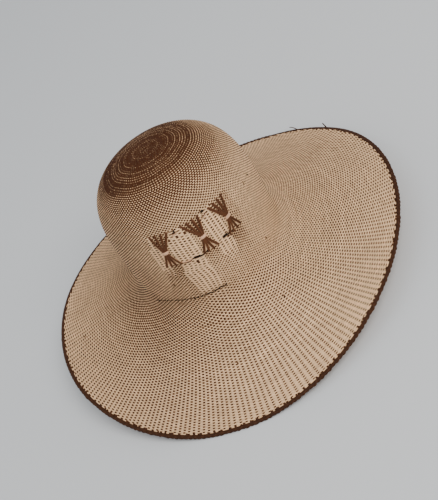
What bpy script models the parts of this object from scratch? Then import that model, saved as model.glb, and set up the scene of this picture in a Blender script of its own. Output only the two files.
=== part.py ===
"""A wide-brimmed hat woven from light and dark straw, standing on its own brim.

Metres, +Z up. The origin lies on the floor under the middle of the brim, and -Y is the side that
carries the three dark bunches. The crown leans a little towards +Y and +X. The edge of the brim
rises and falls: it rests on two low stretches and stands clear of the floor between them.
"""
import math

import bmesh
import bpy
from mathutils import Vector

MM = 0.001


def table(columns, *rows):
    """Rows of a table, each as a dictionary from column name to value."""
    return [dict(zip(columns, row)) for row in rows]


# The crown is an oval dome: a broad round top over walls that are nearly upright.
CROWN_HALF_WIDTH = 87.5 * MM
CROWN_HALF_LENGTH = 93.0 * MM
CROWN_HEIGHT = 144.0 * MM
CROWN_SWELL = 0.04
WALL_SQUARENESS = 5.0
TOP_SQUARENESS = 2.4
CROWN_AXIS = Vector((0.112, 0.130, 1.0)).normalized()
SHOULDER_HEIGHT = 0.86

# The root is the ring where the crown turns into the brim.
ROOT_CENTRE = Vector((2.0, -1.0, 60.2)) * MM
ROOT_NORMAL = Vector((0.074, -0.030, 1.0)).normalized()
ROOT_SETTLES = 0.35
ROOT_CURVE_UP = 15.0 * MM
ROOT_CURVE_OUT = 0.14

# The brim runs from the root to its edge in a shallow hollow curve.
BRIM_BOW = 6.8 * MM
RIM = table(
    ("azimuth_deg", "radius_mm", "height_mm"),
    (0, 218.0, 21.0),
    (30, 216.3, 5.0),
    (60, 212.0, -1.6),
    (90, 210.7, 7.5),
    (120, 214.5, 26.0),
    (150, 217.7, 38.7),
    (180, 218.3, 33.0),
    (210, 213.2, 11.0),
    (240, 208.6, -1.6),
    (270, 210.4, 8.4),
    (300, 214.6, 23.0),
    (330, 217.1, 28.2),
)
RIM_MIDDLE = Vector((0.15, -0.14, 0.0)) * MM
REST_LIFT = 1.843 * MM

# The woven wall, and the dark braid that closes its edge.
WALL = 2.0 * MM
GAP = 0.3 * MM
BRAID_WIDTH = 4.4 * MM
BRAID_THICKNESS = 3.2 * MM
BRAID_NECK = 0.80
BRAID_LOBES = 100
BRAID_SIDES = 6

# How many straight steps stand in for each curve of the profile before it is divided evenly.
TOP_STEPS = 24
WALL_STEPS = 18
ROOT_STEPS = 8
BRIM_STEPS = 12

# How finely the shell is divided.
COLUMNS = 64
CROWN_RINGS = 14
ROOT_RINGS = 4
BRIM_RINGS = 8

# Three bunches of dark strands on the front wall, each gathered at its waist by a light tie.
# Rise is the height up the wall, counted from where the root's curve begins.
BUNCHES = table(
    ("name", "azimuth_deg", "rise_mm", "upper_strands", "upper_width_mm", "upper_shift_mm",
     "lower_strands", "lower_width_mm", "lower_shift_mm"),
    ("left", 239.0, 70.0, 4, 21.5, 2.5, 4, 16.5, 0.0),
    ("middle", 265.5, 69.5, 4, 21.0, -4.0, 4, 16.5, 0.0),
    ("right", 285.5, 68.5, 4, 20.5, -2.5, 4, 15.5, 0.0),
)
UPPER_REACH = 24.0 * MM
LOWER_REACH = 18.0 * MM
STRAND_WIDTH = 2.6 * MM
STRAND_THICKNESS = 1.3 * MM
STRANDS_AT_WAIST = 0.7
STRAND_FREE_FROM = 0.62
STRAND_TAPER = 0.85
FORK_AT = 0.46
WAIST_WIDTH = 4.2 * MM
TIE_LENGTH = 4.4 * MM
TIE_THICKNESS = 1.0 * MM
TIE_STEPS = 8

# Open slits above and below the light cells between the bunches, cut through the wall.
SLITS = table(
    ("azimuth_deg", "rise_mm", "length_mm", "lean_deg"),
    (255.8, 51.5, 11.0, -8.0),
    (277.6, 53.3, 6.8, -2.0),
    (273.8, 91.6, 5.6, 8.0),
    (251.0, 89.0, 4.4, 4.0),
)
SLIT_HEIGHT = 1.3 * MM
SLIT_DEPTH = 8.0 * MM

COLOURS = {
    "woven_body": ((0.50, 0.36, 0.26), 0.62),
    "edge_braid": ((0.10, 0.045, 0.022), 0.66),
    "bunch": ((0.12, 0.05, 0.025), 0.60),
    "tie": ((0.60, 0.42, 0.32), 0.62),
}


def clear_scene():
    """Start from an empty scene."""
    for thing in list(bpy.data.objects):
        bpy.data.objects.remove(thing, do_unlink=True)


def rim_value(azimuth, column):
    """One column of the RIM table at any azimuth, on a smooth closed curve through its rows."""
    place = (math.degrees(azimuth) % 360.0) / 360.0 * len(RIM)
    row = int(place)
    share = place - row
    before, start, end, after = (RIM[(row + k) % len(RIM)][column] for k in (-1, 0, 1, 2))
    slope_start = (end - before) / 2
    slope_end = (after - start) / 2
    return ((2 * share**3 - 3 * share**2 + 1) * start + (share**3 - 2 * share**2 + share) * slope_start
            + (3 * share**2 - 2 * share**3) * end + (share**3 - share**2) * slope_end)


def rim_point(azimuth):
    """Middle of the braid. Where the wave would dip below the floor, the edge rests on it."""
    radius = rim_value(azimuth, "radius_mm") * MM
    height = max(rim_value(azimuth, "height_mm"), 0.0) * MM + REST_LIFT
    return RIM_MIDDLE + Vector((radius * math.cos(azimuth), radius * math.sin(azimuth), height))


def crown_ring_point(azimuth, height, width):
    """A point on the crown: height and width are shares of the full height and the full oval."""
    turn = min(height / ROOT_SETTLES, 1.0)
    turn = turn * turn * (3 - 2 * turn)
    normal = ROOT_NORMAL.lerp(CROWN_AXIS, turn).normalized()
    across = Vector((1, 0, 0))
    across = (across - across.dot(normal) * normal).normalized()
    forward = normal.cross(across)
    oval = CROWN_HALF_WIDTH * CROWN_HALF_LENGTH / math.hypot(CROWN_HALF_LENGTH * math.cos(azimuth),
                                                             CROWN_HALF_WIDTH * math.sin(azimuth))
    reach = oval * width * (1 + CROWN_SWELL * height)
    centre = ROOT_CENTRE + CROWN_AXIS * CROWN_HEIGHT * height
    return centre + across * reach * math.cos(azimuth) + forward * reach * math.sin(azimuth)


def crown_stretch(azimuth):
    """Points from the tip down the wall to where the curve of the root begins."""
    shoulder_width = (1 - SHOULDER_HEIGHT**WALL_SQUARENESS)**(1 / TOP_SQUARENESS)
    points = []
    for step in range(TOP_STEPS):
        width = shoulder_width * step / TOP_STEPS
        height = (1 - width**TOP_SQUARENESS)**(1 / WALL_SQUARENESS)
        points.append(crown_ring_point(azimuth, height, width))
    foot = ROOT_CURVE_UP / CROWN_HEIGHT
    for step in range(WALL_STEPS + 1):
        height = SHOULDER_HEIGHT + (foot - SHOULDER_HEIGHT) * step / WALL_STEPS
        width = (1 - height**WALL_SQUARENESS)**(1 / TOP_SQUARENESS)
        points.append(crown_ring_point(azimuth, height, width))
    return points


def brim_point(azimuth, share):
    """A point on the brim, from the root (0) to the middle of the braid (1)."""
    root = crown_ring_point(azimuth, 0.0, 1.0)
    chord = rim_point(azimuth) - root
    up = Vector((0, 0, 1))
    square = (up - up.project(chord)).normalized()
    return root + chord * share - square * 4 * BRIM_BOW * share * (1 - share)


def root_stretch(azimuth):
    """The rounded turn from the wall to the brim."""
    top = crown_stretch(azimuth)[-1]
    corner = crown_ring_point(azimuth, 0.0, 1.0)
    out = brim_point(azimuth, ROOT_CURVE_OUT)
    points = []
    for step in range(ROOT_STEPS + 1):
        share = step / ROOT_STEPS
        points.append(top * (1 - share)**2 + corner * 2 * share * (1 - share) + out * share**2)
    return points


def brim_stretch(azimuth):
    """From the end of the root's curve to the middle of the braid."""
    span = 1 - ROOT_CURVE_OUT
    return [brim_point(azimuth, ROOT_CURVE_OUT + span * step / BRIM_STEPS) for step in range(BRIM_STEPS + 1)]


def along(points, share):
    """The point at this share of the length of a line of points."""
    lengths = [(b - a).length for a, b in zip(points, points[1:])]
    wanted = share * sum(lengths)
    for start, end, length in zip(points, points[1:], lengths):
        if wanted <= length:
            return start.lerp(end, wanted / length)
        wanted -= length
    return points[-1].copy()


def length_of(points):
    """How long a line of points is."""
    return sum((b - a).length for a, b in zip(points, points[1:]))


def wall_frame(azimuth, rise):
    """Point, side, up and outward directions on the crown's wall, this far above the root's curve."""
    nudge = 1.0 * MM
    angle = nudge / CROWN_HALF_LENGTH

    def at(turn, climb):
        points = crown_stretch(azimuth + turn)
        return along(points, 1 - (rise + climb) / length_of(points))

    point = at(0, 0)
    side = (at(angle, 0) - at(-angle, 0)).normalized()
    up = (at(0, nudge) - at(0, -nudge)).normalized()
    return point, side, up, side.cross(up).normalized()


def shell_rings():
    """Rings of points on the outside, from the tip (one point) to the edge inside the braid."""
    azimuths = [2 * math.pi * column / COLUMNS for column in range(COLUMNS)]
    crowns = [crown_stretch(azimuth) for azimuth in azimuths]
    roots = [root_stretch(azimuth) for azimuth in azimuths]
    brims = [brim_stretch(azimuth) for azimuth in azimuths]
    rings = [[crowns[0][0]]]
    for ring in range(1, CROWN_RINGS + 1):
        rings.append([along(line, ring / CROWN_RINGS) for line in crowns])
    for ring in range(1, ROOT_RINGS + 1):
        rings.append([along(line, ring / ROOT_RINGS) for line in roots])
    for ring in range(1, BRIM_RINGS + 1):
        row = []
        for line in brims:
            edge = 1 - (BRAID_WIDTH / 2 + GAP) / length_of(line)
            row.append(along(line, edge * ring / BRIM_RINGS))
        rings.append(row)
    return rings


def inside_rings(rings):
    """The same rings moved inwards by the wall's thickness."""
    inner = [[rings[0][0] - CROWN_AXIS * WALL]]
    for index in range(1, len(rings)):
        row = []
        for column in range(COLUMNS):
            above = rings[index - 1][column % len(rings[index - 1])]
            below = rings[min(index + 1, len(rings) - 1)][column]
            left = rings[index][column - 1]
            right = rings[index][(column + 1) % COLUMNS]
            outward = (below - above).cross(right - left).normalized()
            row.append(rings[index][column] - outward * WALL)
        inner.append(row)
    return inner


def new_object(name, mesh_source, colour_key, smooth_angle=None):
    """Put a finished mesh in the scene, with its own material."""
    mesh = bpy.data.meshes.new(name)
    mesh_source.to_mesh(mesh)
    mesh_source.free()
    thing = bpy.data.objects.new(name, mesh)
    bpy.context.scene.collection.objects.link(thing)
    if smooth_angle is not None:
        mesh.shade_smooth()
        mesh.set_sharp_from_angle(angle=smooth_angle)
    colour, roughness = COLOURS[colour_key]
    material = bpy.data.materials.new(name)
    material.use_nodes = True
    shader = material.node_tree.nodes["Principled BSDF"]
    shader.inputs["Base Color"].default_value = (*colour, 1.0)
    shader.inputs["Roughness"].default_value = roughness
    shader.inputs["Metallic"].default_value = 0.0
    mesh.materials.append(material)
    return thing


def skin(builder, rows, flip):
    """Faces between neighbouring rows of a closed surface that starts at one point."""
    for upper, lower in zip(rows, rows[1:]):
        for column in range(COLUMNS):
            beside = (column + 1) % COLUMNS
            corners = [lower[column], lower[beside]]
            if len(upper) == 1:
                corners.append(upper[0])
            else:
                corners += [upper[beside], upper[column]]
            if flip:
                corners.reverse()
            builder.faces.new(corners)


def make_body():
    """Crown and brim, woven in one piece: a hollow wall with the slits cut through it."""
    rings = shell_rings()
    builder = bmesh.new()
    outside = [[builder.verts.new(point) for point in ring] for ring in rings]
    inside = [[builder.verts.new(point) for point in ring] for ring in inside_rings(rings)]
    skin(builder, outside, flip=False)
    skin(builder, inside, flip=True)
    skin(builder, [outside[-1], inside[-1]], flip=False)
    body = new_object("woven_body", builder, "woven_body", math.radians(40))
    cut = body.modifiers.new("slits", "BOOLEAN")
    cut.operation = "DIFFERENCE"
    cut.solver = "EXACT"
    cut.object = make_slit_cutter()
    return body


def make_slit_cutter():
    """One flat block for every slit, standing through the wall."""
    builder = bmesh.new()
    for slit in SLITS:
        point, side, up, outward = wall_frame(math.radians(slit["azimuth_deg"]), slit["rise_mm"] * MM)
        lean = math.radians(slit["lean_deg"])
        long_way = side * math.cos(lean) + up * math.sin(lean)
        short_way = up * math.cos(lean) - side * math.sin(lean)
        corners = {}
        for a in (-1, 1):
            for b in (-1, 1):
                for c in (-1, 1):
                    corner = (point + long_way * a * slit["length_mm"] * MM / 2
                              + short_way * b * SLIT_HEIGHT / 2 + outward * c * SLIT_DEPTH / 2)
                    corners[a, b, c] = builder.verts.new(corner)
        for axis in range(3):
            for sign in (-1, 1):
                others = [k for k in range(3) if k != axis]
                face = []
                for first, second in ((-1, -1), (1, -1), (1, 1), (-1, 1)):
                    key = [0, 0, 0]
                    key[axis] = sign
                    key[others[0]] = first
                    key[others[1]] = second
                    face.append(corners[tuple(key)])
                builder.faces.new(face)
    bmesh.ops.recalc_face_normals(builder, faces=builder.faces)
    cutter = new_object("slit_cutter", builder, "tie")
    cutter.hide_render = True
    cutter.display_type = "WIRE"
    return cutter


def make_braid():
    """The dark braid round the edge: a flat rope that swells and narrows once for every lobe."""
    stations = BRAID_LOBES * 2
    builder = bmesh.new()
    rows = []
    for station in range(stations):
        azimuth = 2 * math.pi * station / stations
        line = brim_stretch(azimuth)
        centre = line[-1]
        forward = (rim_point(azimuth + 0.01) - rim_point(azimuth - 0.01)).normalized()
        outward = line[-1] - line[-2]
        outward = (outward - outward.project(forward)).normalized()
        top = outward.cross(forward).normalized()
        size = 1.0 if station % 2 == 0 else BRAID_NECK
        row = []
        for side in range(BRAID_SIDES):
            angle = 2 * math.pi * side / BRAID_SIDES
            across = outward * math.cos(angle) * BRAID_WIDTH / 2
            lift = top * math.sin(angle) * BRAID_THICKNESS / 2 / math.sin(math.pi / 3)
            row.append(builder.verts.new(centre + (across + lift) * size))
        rows.append(row)
    for station, row in enumerate(rows):
        after = rows[(station + 1) % stations]
        for side in range(BRAID_SIDES):
            beside = (side + 1) % BRAID_SIDES
            builder.faces.new((row[side], row[beside], after[beside], after[side]))
    bmesh.ops.recalc_face_normals(builder, faces=builder.faces)
    return new_object("edge_braid", builder, "edge_braid", math.radians(60))


def fan_outline(strands, width, shift, reach, direction):
    """Half of a bunch: strands that spread from the waist at y = 0, up (1) or down (-1)."""
    waist_end = TIE_LENGTH / 2 + GAP
    outline = [Vector((-WAIST_WIDTH / 2, waist_end))]
    for strand in range(strands):
        place = strand / (strands - 1) - 0.5
        tip = Vector((place * width + shift * direction, reach))
        root = Vector((place * WAIST_WIDTH * STRANDS_AT_WAIST, waist_end))
        side = Vector((tip.y - root.y, root.x - tip.x)).normalized() * STRAND_WIDTH / 2
        middle = root.lerp(tip, STRAND_FREE_FROM)
        narrow = side * STRAND_TAPER
        outline += [middle - narrow, tip - side, tip + side, middle + narrow]
        if strand < strands - 1:
            between = place + 0.5 / (strands - 1)
            outline.append(Vector((between * width + shift * direction, reach)) * FORK_AT)
    outline.append(Vector((WAIST_WIDTH / 2, waist_end)))
    return [point * direction for point in outline]


def fan_panels(strands, first):
    """Which outline points, counted from first, make each strand's free end, and the web behind them."""
    ends = [[first + 1 + 5 * strand + corner for corner in range(4)] for strand in range(strands)]
    tips = {corner for end in ends for corner in end[1:3]}
    web = [index for index in range(first, first + 5 * strands + 1) if index not in tips]
    return ends + [web]


def make_bunch(name, azimuth, rise, upper, lower):
    """One butterfly of dark strands, lying on the wall."""
    outline = fan_outline(*upper, UPPER_REACH, 1) + fan_outline(*lower, LOWER_REACH, -1)
    turn = 5 * upper[0] + 1
    panels = fan_panels(upper[0], 0) + fan_panels(lower[0], turn)
    panels.append([0, turn - 1, turn, len(outline) - 1])
    builder = bmesh.new()
    bottom = []
    top = []
    for spot in outline:
        point, _, _, outward = wall_frame(azimuth + spot.x / CROWN_HALF_LENGTH, rise + spot.y)
        bottom.append(builder.verts.new(point + outward * GAP))
        top.append(builder.verts.new(point + outward * (GAP + STRAND_THICKNESS)))
    for panel in panels:
        builder.faces.new([top[index] for index in panel])
        builder.faces.new([bottom[index] for index in reversed(panel)])
    for index in range(len(outline)):
        after = (index + 1) % len(outline)
        builder.faces.new((bottom[index], bottom[after], top[after], top[index]))
    bmesh.ops.triangulate(builder, faces=builder.faces)
    bmesh.ops.recalc_face_normals(builder, faces=builder.faces)
    return new_object("bunch_" + name, builder, "bunch")


def make_tie(name, azimuth, rise):
    """The light strand that gathers a bunch: an arch over its waist, down to the wall on each side."""
    point, side, up, outward = wall_frame(azimuth, rise)
    inner_half = WAIST_WIDTH / 2 + GAP * 3
    inner_height = GAP * 2.5 + STRAND_THICKNESS
    foot = GAP * 1.5
    section = []
    for grow in (TIE_THICKNESS, 0.0):
        arc = []
        for step in range(TIE_STEPS + 1):
            angle = math.pi * step / TIE_STEPS
            x = (inner_half + grow) * math.cos(angle)
            squared = math.sin(angle)**0.5 if 0 < step < TIE_STEPS else 0.0
            y = foot + (inner_height + grow - foot) * squared
            arc.append((x, y))
        section.append(arc)
    ring = section[0] + list(reversed(section[1]))
    builder = bmesh.new()
    rows = []
    for end in (-0.5, 0.5):
        rows.append([builder.verts.new(point + side * x + outward * y + up * end * TIE_LENGTH)
                     for x, y in ring])
    builder.faces.new(rows[0])
    builder.faces.new(list(reversed(rows[1])))
    for index in range(len(ring)):
        after = (index + 1) % len(ring)
        builder.faces.new((rows[0][index], rows[1][index], rows[1][after], rows[0][after]))
    bmesh.ops.triangulate(builder, faces=builder.faces)
    bmesh.ops.recalc_face_normals(builder, faces=builder.faces)
    return new_object("tie_" + name, builder, "tie")


def build():
    """Make every piece of the hat."""
    clear_scene()
    make_body()
    make_braid()
    for row in BUNCHES:
        azimuth = math.radians(row["azimuth_deg"])
        rise = row["rise_mm"] * MM
        upper = (row["upper_strands"], row["upper_width_mm"] * MM, row["upper_shift_mm"] * MM)
        lower = (row["lower_strands"], row["lower_width_mm"] * MM, row["lower_shift_mm"] * MM)
        make_bunch(row["name"], azimuth, rise, upper, lower)
        make_tie(row["name"], azimuth, rise)


build()
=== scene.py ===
"""The looks of a wide-brimmed hat woven from light and dark straw, standing on its own brim.

The weave is real geometry: every crossing of a warp and a weft strand is a small arched tile, laid on
the same surface that the solid part has. Metres, in the frame of the part.
"""
import math

import bpy
import numpy as np
from mathutils import Matrix, Vector


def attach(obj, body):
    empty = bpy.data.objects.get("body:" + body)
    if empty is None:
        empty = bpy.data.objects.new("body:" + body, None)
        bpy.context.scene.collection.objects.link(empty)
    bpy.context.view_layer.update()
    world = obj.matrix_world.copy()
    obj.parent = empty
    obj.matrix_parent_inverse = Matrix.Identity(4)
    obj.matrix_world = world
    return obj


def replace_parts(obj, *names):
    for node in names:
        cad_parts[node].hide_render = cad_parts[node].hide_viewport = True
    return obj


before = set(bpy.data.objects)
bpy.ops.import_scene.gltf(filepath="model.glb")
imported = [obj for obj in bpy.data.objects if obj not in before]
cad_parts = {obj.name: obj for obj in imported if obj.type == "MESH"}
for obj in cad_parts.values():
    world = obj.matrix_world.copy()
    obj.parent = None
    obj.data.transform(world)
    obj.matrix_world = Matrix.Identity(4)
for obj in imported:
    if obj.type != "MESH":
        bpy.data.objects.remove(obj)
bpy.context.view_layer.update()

MM = 0.001
DEG = math.pi / 180
TURN = 2 * math.pi


def table(columns, *rows):
    """Rows of a table, each as a dictionary from column name to value."""
    return [dict(zip(columns, row)) for row in rows]


def read_table(rows, column, values, **options):
    """One column of a table at these values of its first column, on straight lines between its rows."""
    first = next(iter(rows[0]))
    return np.interp(values, [row[first] for row in rows], [row[column] for row in rows], **options)


def unit(vectors):
    """The same directions at length 1."""
    return vectors / np.linalg.norm(vectors, axis=-1, keepdims=True)


def step_lengths(lines):
    """Distance from each point of a line to its next one."""
    return np.linalg.norm(np.diff(lines, axis=0), axis=-1)


def smooth_step(value, low, high):
    """0 below low, 1 above high and a smooth rise between."""
    share = np.clip((value - low) / (high - low), 0, 1)
    return share * share * (3 - 2 * share)


def hump(azimuths, middle, half):
    """1 at the middle azimuth, with a smooth fall to 0 at half the hump's width from it."""
    return 0.5 + 0.5 * np.cos(np.clip((azimuths - middle) / half, -1, 1) * math.pi)


def beside(azimuths, row):
    """How far along the wall each azimuth lies from the one in a table's row."""
    return (azimuths - row["azimuth_deg"] * DEG) * CROWN_HALF_LENGTH


# The crown's form, as in the solid part.
CROWN_HALF_WIDTH = 87.5 * MM
CROWN_HALF_LENGTH = 93.0 * MM
CROWN_HEIGHT = 144.0 * MM
CROWN_SWELL = 0.04
WALL_SQUARENESS = 5.0
TOP_SQUARENESS = 2.4
CROWN_AXIS = unit(np.array((0.112, 0.130, 1.0)))
SHOULDER_HEIGHT = 0.86
ROOT_CENTRE = np.array((2.0, -1.0, 60.2)) * MM
ROOT_NORMAL = unit(np.array((0.074, -0.030, 1.0)))
ROOT_SETTLES = 0.35
ROOT_CURVE_UP = 15.0 * MM
ROOT_CURVE_OUT = 0.14

# The brim's form, as in the solid part.
BRIM_BOW = 6.8 * MM
RIM = table(
    ("azimuth_deg", "radius_mm", "height_mm"),
    (0, 218.0, 21.0), (30, 216.3, 5.0), (60, 212.0, -1.6), (90, 210.7, 7.5), (120, 214.5, 26.0),
    (150, 217.7, 38.7), (180, 218.3, 33.0), (210, 213.2, 11.0), (240, 208.6, -1.6), (270, 210.4, 8.4),
    (300, 214.6, 23.0), (330, 217.1, 28.2),
)
RIM_MIDDLE = np.array((0.15, -0.14, 0.0)) * MM
REST_LIFT = 1.843 * MM
WALL = 2.0 * MM
GAP = 0.3 * MM
BRAID_WIDTH = 4.4 * MM
BRAID_THICKNESS = 3.2 * MM

# The bunches and slits on the front wall, as in the solid part.
BUNCHES = table(
    ("name", "azimuth_deg", "rise_mm", "upper_strands", "upper_width_mm", "upper_shift_mm",
     "lower_strands", "lower_width_mm", "lower_shift_mm", "dense_fade_mm", "dense_spread"),
    ("left", 239.0, 70.0, 4, 21.5, 2.5, 4, 16.5, 0.0, 55.0, 0.45),
    ("middle", 265.5, 69.5, 4, 21.0, -4.0, 4, 16.5, 0.0, 10.0, 0.1),
    ("right", 285.5, 68.5, 4, 20.5, -2.5, 4, 15.5, 0.0, 22.0, 0.1),
)
UPPER_REACH = 24.0 * MM
LOWER_REACH = 18.0 * MM
STRAND_THICKNESS = 1.3 * MM
WAIST_WIDTH = 4.2 * MM
# shade_mm and lip_shade_mm are the widths of the deep dark strands of painted shade behind each slit and
# along its lip.
SLITS = table(
    ("azimuth_deg", "rise_mm", "length_mm", "lean_deg", "shade_mm", "lip_shade_mm"),
    (255.8, 51.5, 11.0, -8.0, 3.6, 1.05),
    (277.6, 53.3, 6.8, -2.0, 3.2, 1.05),
    (273.8, 91.6, 5.6, 8.0, 1.8, 0.75),
    (251.0, 89.0, 3.6, 4.0, 1.0, 0.55),
)
# Dark lines, in the deep dark of the slits' painted shade, that run on from the two lower slits up to the
# bunch beside each.
SLIT_TAILS = table(
    ("azimuth_deg", "rise_mm", "to_azimuth_deg", "to_rise_mm", "width_mm"),
    (258.6, 50.9, 262.2, 51.9, 1.5),
    (261.8, 51.7, 265.2, 54.8, 1.3),
    (280.0, 52.4, 283.2, 51.9, 1.4),
    (282.8, 51.8, 286.4, 54.0, 1.2),
)
SLIT_DEPTH = 8.0 * MM
SLIT_OPEN = 2.3 * MM
SLIT_SHADE_DROP_MM = 0.6
SLIT_MARGIN_WARP = 1.2 * MM
SLIT_MARGIN_WEFT = 0.6 * MM

# How the strands of a bunch open from its neck, and the tie round it.
UPPER_END = 0.93
LOWER_END = 1.06
LOWER_SPREAD = 1.1
FAN_OPENS = 1.25
FAN_WIDTHS = {"upper": 2.6 * MM, "lower": 2.3 * MM}
FAN_BEND = 0.4 * MM
FAN_LIFT = 0.55 * MM
FAN_ARCH = 0.45 * MM
FAN_STAGGER = 0.12 * MM
NECK_SHARE = 0.8
NECK_REACH = 0.4 * MM
TIE_PITCH = 1.15 * MM
TIE_LEAN = 0.3 * MM
TIE_ROOM = 1.0 * MM
TIE_LOW = 0.2 * MM
TIE_ABOVE = 0.9 * MM
TIE_STRAND = (1.3 * MM, 0.8 * MM)

# Bare strands in the weave, and the braid with the ends beside it.
BARE_THICKNESS = 0.7 * MM
KNOT_WIDTH = 1.3 * MM
KNOT_LIFT = 0.7 * MM
PLAIT_LOBES = 84
PLAIT_UNEVEN = 0.35
PLAIT_SWING = 0.27
PLAIT_RISE = 0.20
PLAIT_WIDTH = 2.0 * MM
PLAIT_THICKNESS = 1.4 * MM
PLAIT_FLATTENS = 0.36
PLAIT_CORE_INWARD = 0.5 * MM
PLAIT_CORE_THICKNESS = 1.1 * MM
PLAIT_CORE_RAISED = 0.6
NEAR_EDGE = 0.96
BRAID_CLEARANCE = 1.52 * MM
PLAIT_STATIONS = 1500
EDGE_ENDS = 156
EDGE_END_REACH = 0.006
EDGE_END_TURN = 0.7 * DEG
EDGE_END_THICKNESS = 0.8 * MM
STRAYS = table(
    ("azimuth_deg", "x_mm", "y_mm", "z_mm", "sag_mm"),
    (33.0, -5.7, 5.4, 6.3, 1.6),
    (20.0, -0.3, 4.9, 5.8, 0.9),
    (27.0, -2.0, 0.8, 1.6, 0.3),
)

# The braid rides lower where the brim rolls over at the far side.
BRAID_DROPS = table(
    ("azimuth_deg", "drop_mm"),
    (0, 0.5), (20, 1.0), (40, 1.3), (90, 1.3), (135, 1.1), (155, 0.7), (180, 0.2), (200, 0.0),
    (330, 0.0), (345, 0.2),
)

# The surface is read from a grid: stations down each profile, and azimuths round the hat.
STATIONS = {"crown": 240, "root": 36, "brim": 120}
AZIMUTH_STEPS = 720
FINE_STEPS = 80

# The weave: rows of weft run round the hat, and warps run out from the tip. A run is a distance from
# the tip down the front of the crown, and the pitch is how far apart the rows lie there.
CROWN_PITCHES = table(
    ("run_mm", "pitch_mm"),
    (0, 2.4), (35, 2.7), (50, 3.15), (58, 3.0), (66, 2.4), (80, 2.0), (92, 1.65), (110, 1.5),
    (210, 1.5),
)
ROOT_PITCH = 1.55 * MM
BRIM_PITCH = 1.46 * MM
BRIM_ROW_TIGHTENING = 0.07
SWAY = 0.22
ROW_DRIFT = 0.09
FIRST_WARPS = 16
DOUBLING_RUNS = (5.5 * MM, 11.0 * MM, 22.0 * MM)
CROWN_PAIRS = 61
CROWN_PAIRS_FROM = 23.0 * MM
CROWN_PAIRS_TO = 50.0 * MM
WIDEN_ROWS = 6
NARROWEST = 0.2
WARP_SHIFT = 0.06

# Strand sizes: how wide the warps and wefts show, and how far their ends dive under their neighbours.
WEFT_WIDTHS = table(
    ("run_mm", "width_mm"),
    (0, 0.62), (30, 0.66), (48, 0.76), (60, 0.92), (80, 1.02), (100, 1.25), (125, 1.42), (205, 1.36),
    (330, 1.30),
)
WARP_WIDTH = 2.6 * MM
WARP_SHARES = table(
    ("run_mm", "share"),
    (0, 0.96), (48, 0.94), (80, 0.90), (98, 0.80), (120, 0.71), (150, 0.67),
)
# On the left side more brown shows, with wider warps and narrower wefts: partly the weave there and partly
# painted shade of the side away from the light.
DARKER_SIDE = 188.0 * DEG
DARKER_SIDE_HALF = 75.0 * DEG
DARKER_SIDE_RUNS = (60 * MM, 120 * MM)
DARKER_SIDE_SHARE = 0.30
DARKER_SIDE_WEFT = 0.27
MOST_WARP_SHARE = 0.95
WEFT_FILL = 1.02
DENSE_WARP_SHARE = 0.94
DENSE_WEFT_WIDTH = 0.82 * MM
DENSE_IN_FAN = 0.55
DENSE_SPREAD_RIGHT = 0.1
DENSE_SOFT_EDGE = 2.0 * MM
ARCH = 0.42 * MM
DIVE = 0.30 * MM
SHOULDER = 0.22 * MM
EDGE_DROP = 0.20 * MM
TUCK = 0.28 * MM

# The core behind the tiles. Each stretch has its first place, its last place and its number of rows.
CORE_DEPTH = 0.36 * MM
CORE_COLUMNS = 240
CORE_STRETCHES = ((0.004, 1, 60), (1, 2, 11), (2, 2.999, 31))
CORE_BROWN_RISES = (60 * MM, 120 * MM)
CORE_BROWNS = (0.25, 0.95)

# Tones: how much lighter or darker whole strands and single tiles are than the rest.
STRAND_TONE = 0.55
TILE_TONE = 0.55
CORE_TONE = -0.6
# The slits' cut walls are painted the darkest brown, as shade inside the slits.
SLIT_WALL_SHADE_TONE = -2.5

# Strand coordinates, which the fibres follow.
UV_RANGE = 50
STRAND_UV_LENGTH = 2.0 * MM
CORE_UV_SCALE = 400

# How brown the wefts are: near the tip they are brown too, and unevenly so.
WEFT_BROWNS = table(
    ("run_mm", "brown"),
    (0, 0.84), (20, 0.83), (34, 0.80), (44, 0.68), (52, 0.36), (60, 0.08), (66, 0.0),
)
DARKER_BACK = 34.0 * MM
DARKEST_AZIMUTH = 118.0 * DEG
ROW_UNEVEN = 0.24
SPOT_UNEVEN = 0.20

# The panel round the bunches. In the cells that stay open every other warp is missing, because it has
# gone into a bunch, and its gap closes by the rise in closed_by_mm, on the wall or on the brim (below 0).
# The wefts in a cell are paler, and as wide as weft_mm, down to the rise in open_until_mm.
PANEL_TOP = 91.0 * MM
PANEL_FOOT = 52.5 * MM
FRONT_UNTIL = 1.6
CELLS = table(
    ("start_deg", "end_deg", "stays_open", "closed_by_mm", "open_until_mm", "weft_mm", "paler"),
    (230.4, 238.0, True, 36.0, 49.0, 1.12, 2.6),
    (242.6, 259.9, True, -34.0, 6.0, 1.17, 3.7),
    (269.4, 281.4, True, 22.0, 34.0, 1.17, 3.7),
    (288.6, 295.8, False, 0.0, 52.5, 0.72, 2.4),
)
FRONT_MIDDLE = 262.0 * DEG
FRONT_HALF = 58.0 * DEG
CLOSING_FROM = 44.0 * MM
CELL_BROWN = 0.95
CELL_UNEVEN = 0.15
CELL_PALEST = 0.5

# One pale warp left of the bunches.
SEAM_AZIMUTH = 229.2 * DEG
SEAM_HALF = 0.75 * DEG
SEAM_LOW = 46.0 * MM
SEAM_HIGH = 76.0 * MM
SEAM_BROWN = 0.12

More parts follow.
